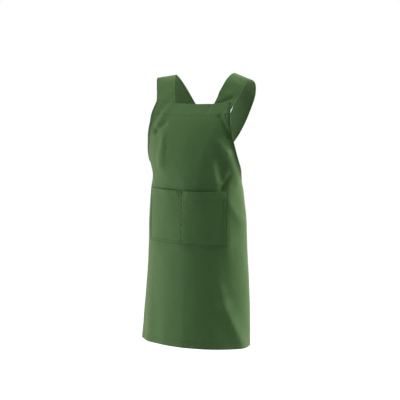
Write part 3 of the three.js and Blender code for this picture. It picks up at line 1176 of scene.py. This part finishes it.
@dataclass
class FrontPanel:
    """Bib and wrap-round skirt in one cut, with turned hems."""

    surface: PanelSurface
    layer: float = 0.9
    hem_layers: float = 2.2
    row_spacing: float = 4.4
    columns: int = 84  # from the side hem to the centre line
    bezier_steps: int = 240
    side_hem: Hem = Hem(stitch=8.2, depth=10)
    top_hem: Hem = Hem(stitch=37, depth=39, pucker=0.16, pucker_length=18)
    bottom_hem: Hem = Hem(stitch=20, depth=22, pucker=0.2, pucker_length=24)
    side_offset: float = 31.0  # moves the puckers of the two sides opposite ways
    painted_groove_shade: float = 0.3  # how much painted shade darkens the grooves of the stitches
    painted_edge_shade: float = 0.85  # how much painted shade darkens the side hems at their edges
    edge_reach: float = 6.0
    curl: float = 4.0  # how far the armholes' edges stand off the wearer
    curl_reach: float = 13.0
    curl_bend: float = 1.5  # over 1 bends the cloth most at its edge
    curl_top: tuple[float, float] = (45.0, 100.0)  # s over which the curl starts
    curl_bottom: tuple[float, float] = (180.0, 235.0)  # s over which it ends

    # Kept from the build for the stitches and the flat size.
    outer: np.ndarray = field(init=False)
    outward: np.ndarray = field(init=False)
    from_top: np.ndarray = field(init=False)
    from_bottom: np.ndarray = field(init=False)
    from_side: np.ndarray = field(init=False)
    flat_area: float = field(init=False)

    def curled(self, from_side: np.ndarray, s: np.ndarray) -> np.ndarray:
        """How far the cloth beside an armhole turns outwards.

        Args:
            from_side: distances from the side edge.
            s: places down the flat cut.

        Returns:
            Heights in millimetres.
        """
        stretch = ease(*self.curl_top, s) * (1 - ease(*self.curl_bottom, s))
        return self.curl * stretch * np.clip(1 - from_side / self.curl_reach, 0, 1) ** self.curl_bend

    def edge_rows(self) -> np.ndarray:
        """Rows of the free edge's table at which the cloth's own rows end.

        Returns:
            Array with the columns of ARMHOLE_EDGE.
        """
        armhole = SmoothRows.by_length(ARMHOLE_EDGE, 2)
        back = SmoothRows.by_length(BACK_EDGE, 2)
        hem_depth = ARMHOLE_EDGE[1][2] - ARMHOLE_EDGE[0][2]
        top = self.top_hem.distances() * armhole.places[1] / hem_depth
        armhole_steps = round((armhole.length - top[-1]) / self.row_spacing)
        armhole_places = np.linspace(top[-1], armhole.length, armhole_steps + 1)[1:]
        bottom = back.length - self.bottom_hem.distances()[::-1]
        back_steps = round(bottom[0] / self.row_spacing)
        back_places = np.linspace(0, bottom[0], back_steps + 1)[1:]
        above = armhole.at(np.concatenate([top, armhole_places]))
        below = back.at(np.concatenate([back_places, bottom[1:]]))
        return np.concatenate([above, below])

    def row_places(self, rows: np.ndarray) -> tuple[np.ndarray, np.ndarray]:
        """Flat cut places of all rows, from the right edge to the left one.

        Args:
            rows: rows of the edge table.

        Returns:
            Places (rows by columns by two), and their distances from the nearer side edge.
        """
        edge_w, edge_s, centre, lift, reach = (c[:, None] for c in rows.T)
        turn = np.radians(lift)
        t = np.linspace(0, 1, self.bezier_steps + 1)[None, :]
        shares = ((1 - t) ** 3, 3 * t * (1 - t) ** 2, 3 * t**2 * (1 - t), t**3)
        w_points = (0, edge_w / 3, edge_w - reach * np.cos(turn), edge_w)
        s_points = (centre, centre, edge_s + reach * np.sin(turn), edge_s)
        w = sum(share * value for share, value in zip(shares, w_points))
        s = sum(share * value for share, value in zip(shares, s_points))
        steps = np.hypot(np.diff(w, axis=1), np.diff(s, axis=1))
        walked = np.concatenate([np.zeros((len(rows), 1)), np.cumsum(steps, axis=1)], axis=1)
        hem = self.side_hem.distances()
        places = []
        distances = []
        for row in range(len(rows)):
            total = walked[row, -1]
            inside = np.linspace(0, total - hem[-1], self.columns + 1)[:-1]
            at = np.concatenate([inside, total - hem[::-1]])
            w_at = np.interp(at, walked[row], w[row])
            s_at = np.interp(at, walked[row], s[row])
            places.append(np.stack([w_at, s_at], axis=-1))
            distances.append(total - at)
        half = np.array(places)
        far = np.array(distances)
        mirrored = half[:, :0:-1] * (-1, 1)
        return np.concatenate([mirrored, half], axis=1), np.concatenate([far[:, :0:-1], far], axis=1)

    def build(self) -> bpy.types.Object:
        """Makes the panel's mesh and keeps its grid for the stitches.

        Returns:
            The object.
        """
        rows = self.edge_rows()
        cut, from_side = self.row_places(rows)
        w, s = cut[..., 0], cut[..., 1]
        from_top = np.broadcast_to(rows[:, 2:3] - ARMHOLE_EDGE[0][2], w.shape)
        from_bottom = from_top[-1:] - from_top
        steps = np.hypot(np.diff(rows[:, 0]), np.diff(rows[:, 1]))
        down_edge = np.broadcast_to(np.concatenate([[0], np.cumsum(steps)])[:, None], w.shape)
        edges = (
            (self.side_hem, from_side, down_edge + self.side_offset * np.sign(w)),
            (self.top_hem, from_top, w),
            (self.bottom_hem, from_bottom, w),
        )
        hems = HemWork.of(edges)
        lift = hems.pucker + self.curled(from_side, s)
        thickness = self.layer + (self.hem_layers - self.layer) * hems.doubled
        base = self.surface.point(w, s)
        self.outward = self.surface.outward(w, s)
        self.outer = base + self.outward * (lift + hems.ridge - hems.press)[..., None]
        inner = base + self.outward * (lift + hems.press - thickness)[..., None]
        # Painted shade: darker in the stitches' grooves and along the side hems' edges.
        painted_shade = self.painted_groove_shade * hems.press / self.side_hem.groove
        painted_shade = painted_shade + self.painted_edge_shade * bell(from_side, self.edge_reach)
        self.from_top = from_top[:, 0]
        self.from_bottom = from_bottom[:, 0]
        self.from_side = from_side[0]
        self.flat_area = self.measure(cut)
        return ClothShell(self.outer, inner, cut, painted_shade).build("front_panel_cloth")

    def measure(self, cut: np.ndarray) -> float:
        """Area of the flat cut.

        Args:
            cut: places of the grid's points.

        Returns:
            Area in square metres.
        """
        across = cut[:-1, 1:] - cut[1:, :-1]
        down = cut[1:, 1:] - cut[:-1, :-1]
        cross = across[..., 0] * down[..., 1] - across[..., 1] * down[..., 0]
        return float(np.abs(cross).sum() / 2) * METRES**2

    def flat_size(self) -> tuple[float, float]:
        """Size of the cloth that the panel is cut from.

        Returns:
            Width and length, in metres.
        """
        width = 2 * BACK_EDGE[-1][0]
        length = BACK_EDGE[-1][1] - ARMHOLE_EDGE[0][1]
        return width * METRES, length * METRES

    def threads(self) -> list[Thread]:
        """Stitch lines of the top, bottom and side hems.

        Returns:
            The lines, on the outer face.
        """
        top = nearest(self.from_top, self.top_hem.stitch)
        bottom = nearest(self.from_bottom, self.bottom_hem.stitch)
        last = len(self.from_side) - 1
        middle = last // 2
        side = middle + nearest(self.from_side[middle:], self.side_hem.stitch)
        across = slice(last - side, side + 1)
        lines = [Thread(self.outer[row, across], self.outward[row, across]) for row in (top, bottom)]
        for column in (side, last - side):
            lines.append(Thread(self.outer[:, column], self.outward[:, column]))
        return lines


@dataclass
class Pocket:
    """Wide patch pocket, sewn on three sides and down its middle, with a hemmed mouth."""

    surface: PanelSurface
    top: float = 271.0
    height: float = 172.0
    half_width: float = 149.0
    gape: float = 4.0  # how far each half of the mouth stands open
    gape_shift: float = 0.7  # under 1 moves the widest place towards the middle seam
    gape_fade: float = 1.2  # how the gape closes towards the bottom seam
    seam_gap: float = 0.3
    layer: float = 0.9
    hem_layers: float = 2.0
    row_spacing: float = 3.6
    half_columns: int = 34  # between the seams of one half
    mouth_hem: Hem = Hem(stitch=22, depth=24, pucker=0.2, pucker_length=16)
    edge_seam: Hem = Hem(stitch=3.2, depth=9, ridge=0.35, pucker=0.3, pucker_reach=9, pucker_length=19)
    middle_seam: Seam = Seam(stitch=0, groove=0.6, pucker=0.5, pucker_reach=13, pucker_length=21)
    side_offset: float = 40.0  # moves the puckers of the two sides opposite ways
    middle_offset: float = 7.0  # the same on the two sides of the middle seam
    held_reach: float = 12.0  # from the sewn edges, within which the cloth is held flat
    creases: tuple[Fold, ...] = POCKET_CREASES
    deepest_crease: float = -0.8
    painted_seam_shade: float = 0.55  # how much painted shade darkens the sewn edges
    seam_reach: float = 3.0
    painted_tack_shade: float = 0.95  # how much painted shadow darkens the middle seam at the mouth
    tack_reach: float = 3.2
    tack_length: float = 28.0

    # Kept from the build for the stitches.
    across: np.ndarray = field(init=False)
    down: np.ndarray = field(init=False)
    outer: np.ndarray = field(init=False)
    outward: np.ndarray = field(init=False)

    MIDDLE_LINES = (0, 0.8, 1.8, 3.4, 6)  # of the grid, from the middle seam

    def columns(self) -> np.ndarray:
        """Places across the pocket, close together at the side and middle seams.

        Returns:
            Values of w.
        """
        edge = self.edge_seam.distances()
        inner_edge = self.half_width - edge[-1]
        between = np.linspace(self.MIDDLE_LINES[-1], inner_edge, self.half_columns)[1:-1]
        half = np.concatenate([self.MIDDLE_LINES, between, self.half_width - edge[::-1]])
        return np.concatenate([-half[:0:-1], half])

    def rows(self) -> np.ndarray:
        """Places down the pocket, close together at the mouth's hem and the bottom seam.

        Returns:
            Distances from the mouth.
        """
        mouth = self.mouth_hem.distances()
        edge = self.height - self.edge_seam.distances()[::-1]
        count = round((edge[0] - mouth[-1]) / self.row_spacing)
        between = np.linspace(mouth[-1], edge[0], count + 1)[1:-1]
        return np.concatenate([mouth, between, edge])

    def stand_off(self, w: np.ndarray, down: np.ndarray) -> np.ndarray:
        """How far the pocket stands off the panel.

        Args:
            w: places across the flat cut.
            down: distances from the mouth.

        Returns:
            Heights in millimetres.
        """
        across = (np.abs(w) / self.half_width) ** self.gape_shift
        up = np.clip(1 - down / self.height, 0, 1)
        return self.gape * np.sin(math.pi * across) ** 2 * up**self.gape_fade

    def build(self) -> bpy.types.Object:
        """Makes the pocket's mesh and keeps its grid for the stitches.

        Returns:
            The object.
        """
        self.across = self.columns()
        self.down = self.rows()
        down, w = np.meshgrid(self.down, self.across, indexing="ij")
        s = self.top + down
        from_side = self.half_width - np.abs(w)
        from_bottom = self.height - down
        edges = (
            (self.edge_seam, from_side, down + self.side_offset * np.sign(w)),
            (self.edge_seam, from_bottom, w),
            (self.mouth_hem, down, w),
        )
        hems = HemWork.of(edges)
        press = hems.press + self.middle_seam.press(w)
        drawn = hems.pucker + self.middle_seam.puckers(w, down + self.middle_offset * np.sign(w))
        creased = sum(crease.height(w, s) for crease in self.creases)
        free = ease(0, self.held_reach, from_side) * ease(0, self.held_reach, from_bottom)
        relief = (drawn + np.maximum(creased, self.deepest_crease)) * free
        thickness = self.layer + (self.hem_layers - self.layer) * hems.doubled
        lift = self.seam_gap + self.stand_off(w, down)
        base = self.surface.point(w, s)
        self.outward = self.surface.outward(w, s)
        self.outer = base + self.outward * (lift + thickness + hems.ridge - press + relief)[..., None]
        inner = base + self.outward * (lift + np.maximum(relief, 0))[..., None]
        # Painted shade along the sewn edges and a painted shadow at the top of the middle seam.
        sewn = bell(np.minimum(from_side, from_bottom), self.seam_reach)
        tack_shadow = bell(w, self.tack_reach) * (1 - ease(0, self.tack_length, down))
        painted_shade = self.painted_seam_shade * sewn + self.painted_tack_shade * tack_shadow
        cut = np.stack([w, s], axis=-1)
        return ClothShell(self.outer, inner, cut, painted_shade).build("pocket_cloth")

    def flat_size(self) -> tuple[float, float]:
        """Width and length of the pocket, in metres."""
        return 2 * self.half_width * METRES, self.height * METRES

    def threads(self) -> list[Thread]:
        """Stitch lines of the mouth's hem, the three sewn edges and the middle seam.

        Returns:
            The lines, on the outer face.
        """
        last = len(self.across) - 1
        side = nearest(self.half_width - self.across, self.edge_seam.stitch)
        bottom = nearest(self.height - self.down, self.edge_seam.stitch)
        mouth = nearest(self.down, self.mouth_hem.stitch)
        across = slice(last - side, side + 1)
        down = slice(0, bottom + 1)
        lines = [Thread(self.outer[row, across], self.outward[row, across]) for row in (mouth, bottom)]
        for column in (side, last - side, last // 2):
            lines.append(Thread(self.outer[down, column], self.outward[down, column]))
        return lines


@dataclass(frozen=True)
class BackSurface:
    """Common surface of the two straps behind the wearer."""

    depth: float = 90.0  # of its rearmost place
    level: float = -170.0
    fall_up_down: float = 0.0012  # for each square millimetre from that level
    fall_sideways: float = 0.0014

    def y_at(self, x: np.ndarray, z: np.ndarray) -> np.ndarray:
        """How far back the surface lies."""
        return self.depth - self.fall_up_down * (z - self.level) ** 2 - self.fall_sideways * x**2


@dataclass
class Strap:
    """Wide flat strap from a front corner of the bib to the opposite back corner of the skirt."""

    surface: PanelSurface
    side: Side
    lay: Lay
    panel_hem: float = 2.2  # thickness of the panel's hems, behind which the ends are sewn
    width: float = 66.0
    thickness: float = 1.9
    seam_gap: float = 0.3
    front_flat: float = 62.0  # length that lies against the bib
    back_flat: float = 70.0  # length that lies against the skirt
    release: float = 36.0  # over which each end leaves the panel
    crossing_split: float = 1.7  # from each strap to the surface between the two
    crossing_reach: float = 48.0
    crossing_fade: float = 50.0
    spacing: float = 3.4
    half_columns: int = 7  # from the edge's stitches to the middle line
    probe: float = 1.0  # step when the path's direction is measured
    back_surface: BackSurface = BackSurface()
    edge_seam: Seam = Seam(stitch=4, groove=0.35, pucker=0.18, pucker_reach=5, pucker_length=13)
    end_seam: Seam = Seam(stitch=6, groove=0.35, pucker=0.0)
    side_offset: float = 23.0  # moves the puckers of the two edges opposite ways
    creases: tuple[Fold, ...] = ()
    # how much painted shade darkens the grooves of the stitches
    painted_groove_shade: float = 0.3
    painted_crease_shade: float = 0.24  # how much painted shade darkens a crease for each millimetre of its depth

    # Kept from the build for the stitches and the flat size.
    path: SmoothRows = field(init=False)
    places: np.ndarray = field(init=False)
    sideways: np.ndarray = field(init=False)
    outer: np.ndarray = field(init=False)
    outward: np.ndarray = field(init=False)

    # Where the lines of the cloth's grid lie, from an edge and from an end.
    EDGE_LINES = (0, 0.5, 1.3, 2.6, 3.3, 4, 4.7, 5.6, 7.5)
    END_LINES = (0, 0.5, 1.5, 3, 4.9, 6, 7.1, 9)
    CROSSING_STEPS = 241

    @property
    def name(self) -> str:
        """Name of the strap's node."""
        return f"strap_{self.side.name.lower()}"

    def columns(self) -> np.ndarray:
        """Places across the strap, close together at the stitch lines.

        Returns:
            Distances from the middle line.
        """
        edge = self.width / 2 - np.array(self.EDGE_LINES)
        inside = np.linspace(edge[-1], 0, self.half_columns)[1:]
        half = np.concatenate([edge, inside])
        return np.concatenate([half, -half[-2::-1]]) * -self.side.value

    def build(self) -> bpy.types.Object:
        """Makes the strap's mesh and keeps its grid for the stitches.

        Returns:
            The object.
        """
        self.path = SmoothRows.by_length(STRAP_PATH, 3)
        ends = np.array(self.END_LINES)
        count = round(self.path.length / self.spacing)
        between = np.linspace(ends[-1], self.path.length - ends[-1], count)[1:-1]
        self.places = np.concatenate([ends, between, self.path.length - ends[::-1]])
        self.sideways = self.columns()
        place, sideways = np.meshgrid(self.places, self.sideways, indexing="ij")
        from_side = self.width / 2 - np.abs(sideways)
        from_end = np.minimum(place, self.path.length - place)
        press = self.edge_seam.press(from_side) + self.end_seam.press(from_end)
        pucker = self.edge_seam.puckers(from_side, place + self.side_offset * np.sign(sideways))
        sewn = np.maximum(*self.sewn_shares(place))
        creased = sum(crease.height(sideways, place) for crease in self.creases)
        relief = pucker * (1 - sewn) + creased
        self.outer = self.point(place, sideways, self.thickness / 2 - press + relief)
        inner = self.point(place, sideways, press - self.thickness / 2 + relief)
        self.outward = unit(self.outer - inner)
        # Painted shade in the stitches' grooves and in the creases.
        groove_shadow = self.painted_groove_shade * press / self.edge_seam.groove
        painted_shade = groove_shadow - self.painted_crease_shade * np.minimum(creased, 0)
        cut = np.stack([sideways, place], axis=-1)
        return ClothShell(self.outer, inner, cut, painted_shade).build(f"{self.name}_cloth")

    def sewn_shares(self, place: np.ndarray) -> tuple[np.ndarray, np.ndarray]:
        """How fully the strap lies against the bib at its front end and the skirt at its back end.

        Args:
            place: places along the path.

        Returns:
            Shares from 0 to 1 for the front end and for the back end.
        """
        from_back = self.path.length - place
        front = 1 - ease(self.front_flat, self.front_flat + self.release, place)
        back = 1 - ease(self.back_flat, self.back_flat + self.release, from_back)
        return front, back

    def point(self, place: np.ndarray, sideways: np.ndarray, depth: np.ndarray) -> np.ndarray:
        """Points of the strap.

        Args:
            place: places along the path.
            sideways: distances from the middle line.
            depth: heights above the strap's middle layer.

        Returns:
            Points, in millimetres.
        """
        askew = self.surface.form.askew
        mirror = np.array([self.side.value, 1, 1])
        centre, normal = np.split(self.path.at(place), 2, axis=-1)
        normal[..., 0] += askew.strap_roll * self.side.value * np.maximum(normal[..., 2], 0)
        normal = unit(normal)
        along = self.path.at(place + self.probe)[..., :3] - self.path.at(place - self.probe)[..., :3]
        middle = centre + unit(np.cross(normal, along)) * sideways[..., None]
        placed = askew.set((middle + normal * depth[..., None]) * mirror, askew.strap_shift)
        # The sewn ends follow the panel, inside its hems.
        w, s = self.surface.form.flat_place(middle.reshape(-1, 3))
        front, back = self.sewn_shares(place)
        slip = (askew.strap_shift - askew.bib_shift) * askew.share(middle[..., 2]) * (front > 0)
        w = w.reshape(place.shape) * self.side.value + slip
        s = s.reshape(place.shape)
        under = depth - self.panel_hem - self.seam_gap - self.thickness / 2
        pressed = self.surface.point(w, s) + self.surface.outward(w, s) * under[..., None]
        placed = placed + (pressed - placed) * np.maximum(front, back)[..., None]
        # Where the straps cross, each keeps to its own side of their common surface.
        from_crossing = np.abs(place - self.crossing())
        laid_share = 1 - ease(self.crossing_reach, self.crossing_reach + self.crossing_fade, from_crossing)
        level = self.back_surface.y_at(placed[..., 0], placed[..., 2])
        laid = level + self.lay.value * self.crossing_split + depth
        placed[..., 1] += (laid - placed[..., 1]) * laid_share
        return placed

    def crossing(self) -> float:
        """Place along the path where the strap passes the middle of the back."""
        places = np.linspace(0, self.path.length, self.CROSSING_STEPS)
        return float(places[np.argmax(self.path.at(places)[:, 0] < 0)])

    def flat_size(self) -> tuple[float, float]:
        """Width and length of the strap, in metres."""
        return self.width * METRES, self.path.length * METRES

    def threads(self) -> list[Thread]:
        """Stitch lines along both edges and across both ends.

        Returns:
            The lines, on the outer face.
        """
        from_side = self.width / 2 - np.abs(self.sideways)
        edges = np.flatnonzero(np.isclose(from_side, self.edge_seam.stitch))
        from_end = np.minimum(self.places, self.path.length - self.places)
        ends = np.flatnonzero(np.isclose(from_end, self.end_seam.stitch))
        down = slice(ends[0], ends[-1] + 1)
        across = slice(edges[0], edges[-1] + 1)
        lines = [Thread(self.outer[down, column], self.outward[down, column]) for column in edges]
        lines += [Thread(self.outer[row, across], self.outward[row, across]) for row in ends]
        return lines


@dataclass(frozen=True)
class Softbox:
    """Large soft light: its place round the apron as seen by the camera, its size and its power."""

    name: str
    turn: float  # degrees to the right of the camera
    height: float  # degrees above level
    distance: float  # in metres, as the sizes below
    width: float
    tall: float
    power: float
    colour: Colour = (1.0, 1.0, 1.0)


@dataclass
class Studio:
    """Camera at the photograph's angle, soft lights and a plain pale floor."""

    turn: float = 28.0  # degrees to the wearer's left of straight ahead
    height: float = 6.5  # degrees above level
    roll: float = 0.7  # degrees
    distance: float = 4.5  # in metres, as the places below
    lens: float = 122.7  # in millimetres, as the sensor
    sensor: float = 36.0
    clip_end: float = 200.0
    target: tuple[float, float, float] = (0.0, 0.0, -0.4)
    aim_right: float = -0.0066  # from the target, as the camera sees it
    aim_up: float = -0.00825
    light_centre: tuple[float, float, float] = (0.0, 0.0, -0.42)
    floor_level: float = -1.42
    floor_size: float = 60.0
    floor_grey: float = 0.8
    floor_tones: tuple[float, float] = (0.97, 1.0)  # as the camera sees it
    floor_patches: float = 0.4  # for each metre
    ambient: float = 0.045
    softboxes: tuple[Softbox, ...] = (
        Softbox("left_softbox", -97, -8, 1.8, 1.0, 1.8, 32.5, WARM),
        Softbox("right_softbox", 86, 5, 1.8, 1.0, 1.8, 34.0, WARM),
        Softbox("front_softbox", -35, 15, 3.0, 1.2, 1.5, 10.5),
        Softbox("top_softbox", 0, 80, 2.0, 1.2, 1.2, 20.0),
        Softbox("rim_softbox", 120, 60, 2.0, 1.2, 1.2, 31.0, WARM),
    )

    def axes(self) -> tuple[Vector, Vector, Vector]:
        """Directions of the camera before its roll.

        Returns:
            Directions to the right, upwards and back from the apron.
        """
        turn = math.radians(self.turn)
        height = math.radians(self.height)
        level = math.cos(height)
        back = Vector((math.sin(turn) * level, -math.cos(turn) * level, math.sin(height)))
        right = Vector((math.cos(turn), math.sin(turn), 0))
        return right, back.cross(right), back

    def build(self) -> None:
        """Makes everything round the apron."""
        self.make_camera()
        for softbox in self.softboxes:
            self.make_softbox(softbox)
        self.make_floor()
        self.make_world()
        bpy.context.scene.view_settings.view_transform = "Standard"

    def make_camera(self) -> None:
        """Places the camera."""
        right, up, back = self.axes()
        roll = math.radians(self.roll)
        turned_right = right * math.cos(roll) + up * math.sin(roll)
        turned_up = up * math.cos(roll) - right * math.sin(roll)
        aim = Vector(self.target) + turned_right * self.aim_right + turned_up * self.aim_up
        place = Matrix((turned_right, turned_up, back)).transposed().to_4x4()
        place.translation = aim + back * self.distance
        lens = bpy.data.cameras.new("camera")
        lens.lens = self.lens
        lens.sensor_width = self.sensor
        lens.clip_end = self.clip_end
        camera = put_in_scene("camera", lens)
        camera.matrix_world = place
        bpy.context.scene.camera = camera

    def make_softbox(self, softbox: Softbox) -> None:
        """Places one soft light, turned to the apron's middle.

        Args:
            softbox: sizes of the light.
        """
        right, _, back = self.axes()
        ahead = Vector((back.x, back.y, 0)).normalized()
        turn = math.radians(softbox.turn)
        height = math.radians(softbox.height)
        level = ahead * math.cos(turn) + right * math.sin(turn)
        direction = level * math.cos(height) + Vector((0, 0, math.sin(height)))
        light = bpy.data.lights.new(softbox.name, "AREA")
        light.shape = "RECTANGLE"
        light.size = softbox.width
        light.size_y = softbox.tall
        light.energy = softbox.power
        light.color = softbox.colour
        lamp = put_in_scene(softbox.name, light)
        lamp.location = Vector(self.light_centre) + direction * softbox.distance
        lamp.rotation_euler = direction.to_track_quat("Z", "Y").to_euler()

    def make_floor(self) -> None:
        """Lays the pale floor."""
        half = self.floor_size / 2
        corners = [(-half, -half), (half, -half), (half, half), (-half, half)]
        mesh = bpy.data.meshes.new("floor")
        mesh.from_pydata([(x, y, self.floor_level) for x, y in corners], [], [(0, 1, 2, 3)])
        material, board = NodeBoard.on_material("pale_floor")
        seen = board.add("ShaderNodeLightPath").outputs["Is Camera Ray"]
        place = board.add("ShaderNodeTexCoord").outputs["Object"]
        grey = self.floor_grey
        matt = board.add("ShaderNodeBsdfDiffuse", Color=(grey, grey, grey, 1))
        dull, bright = ((tone, tone, tone, 1) for tone in self.floor_tones)
        tone = board.mix(board.noise(place, self.floor_patches, detail=2), dull, bright)
        glow = board.add("ShaderNodeEmission", Color=tone, Strength=1.0)
        lit = board.add("ShaderNodeAddShader")
        board.feed(lit.inputs[0], matt.outputs["BSDF"])
        board.feed(lit.inputs[1], glow.outputs["Emission"])
        shown = board.add("ShaderNodeMixShader")
        board.feed(shown.inputs[0], seen)
        board.feed(shown.inputs[1], matt.outputs["BSDF"])
        board.feed(shown.inputs[2], lit.outputs[0])
        board.add("ShaderNodeOutputMaterial", Surface=shown.outputs[0])
        mesh.materials.append(material)
        put_in_scene("floor", mesh)

    def make_world(self) -> None:
        """Sets a white backdrop for the camera and a dim even light for the cloth."""
        world = bpy.data.worlds.new("studio")
        world.use_nodes = True
        board = NodeBoard(world.node_tree)
        seen = board.add("ShaderNodeLightPath").outputs["Is Camera Ray"]
        strength = board.spread(seen, self.ambient, 1.0)
        backdrop = board.add("ShaderNodeBackground", Color=(1, 1, 1, 1), Strength=strength)
        board.add("ShaderNodeOutputWorld", Surface=backdrop.outputs["Background"])
        bpy.context.scene.world = world


def dress(
    cloth: bpy.types.Object,
    stitches: bpy.types.Object,
    node: str,
    finish: bpy.types.Material,
) -> None:
    """Gives a sewn piece its finish, hides the solid that it stands for and hangs the cloth and its
    stitches on the body.

    Args:
        cloth: the cloth.
        stitches: its stitches.
        node: the solid that the cloth stands for.
        finish: material of the cloth.
    """
    cloth.data.materials.append(finish)
    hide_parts(node)
    for piece in (cloth, stitches):
        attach(piece, BODY)
        LOG.info("%s: %d faces", piece.name, len(piece.data.polygons))


def main() -> None:
    """Builds the studio and the sewn pieces in order."""
    logging.basicConfig(level=logging.INFO, format="%(name)s: %(message)s", force=True)
    Studio().build()
    surface = PanelSurface(WornForm(SECTIONS, Askew()), MAIN_FOLDS + BENDS + FINE_CREASES, RIPPLES)
    stitcher = StitchMaker(ThreadFinish("green_thread"))
    straps = (
        Strap(surface, Side.LEFT, Lay.OVER, creases=LEFT_STRAP_CREASES),
        Strap(surface, Side.RIGHT, Lay.UNDER, creases=RIGHT_STRAP_CREASES),
    )
    strap_finish = TwillFinish("pressed_twill", rib_pitch=0.0013).material()
    for strap in straps:
        cloth = strap.build()
        stitches = stitcher.lay(f"{strap.name}_stitches", strap.threads())
        dress(cloth, stitches, strap.name, strap_finish)
        strap.flat_size()
    panel = FrontPanel(surface)
    cloth = panel.build()
    stitches = stitcher.lay("front_panel_stitches", panel.threads())
    dress(cloth, stitches, "front_panel", TwillFinish("panel_twill").material())
    LOG.info("flat area of the panel: %.4f square metres", panel.flat_area)
    [strap.name for strap in straps]
    pocket = Pocket(surface)
    cloth = pocket.build()
    stitches = stitcher.lay("pocket_stitches", pocket.threads())
    dress(cloth, stitches, "pocket", TwillFinish("pocket_twill").material())


if __name__ == "__main__":
    main()
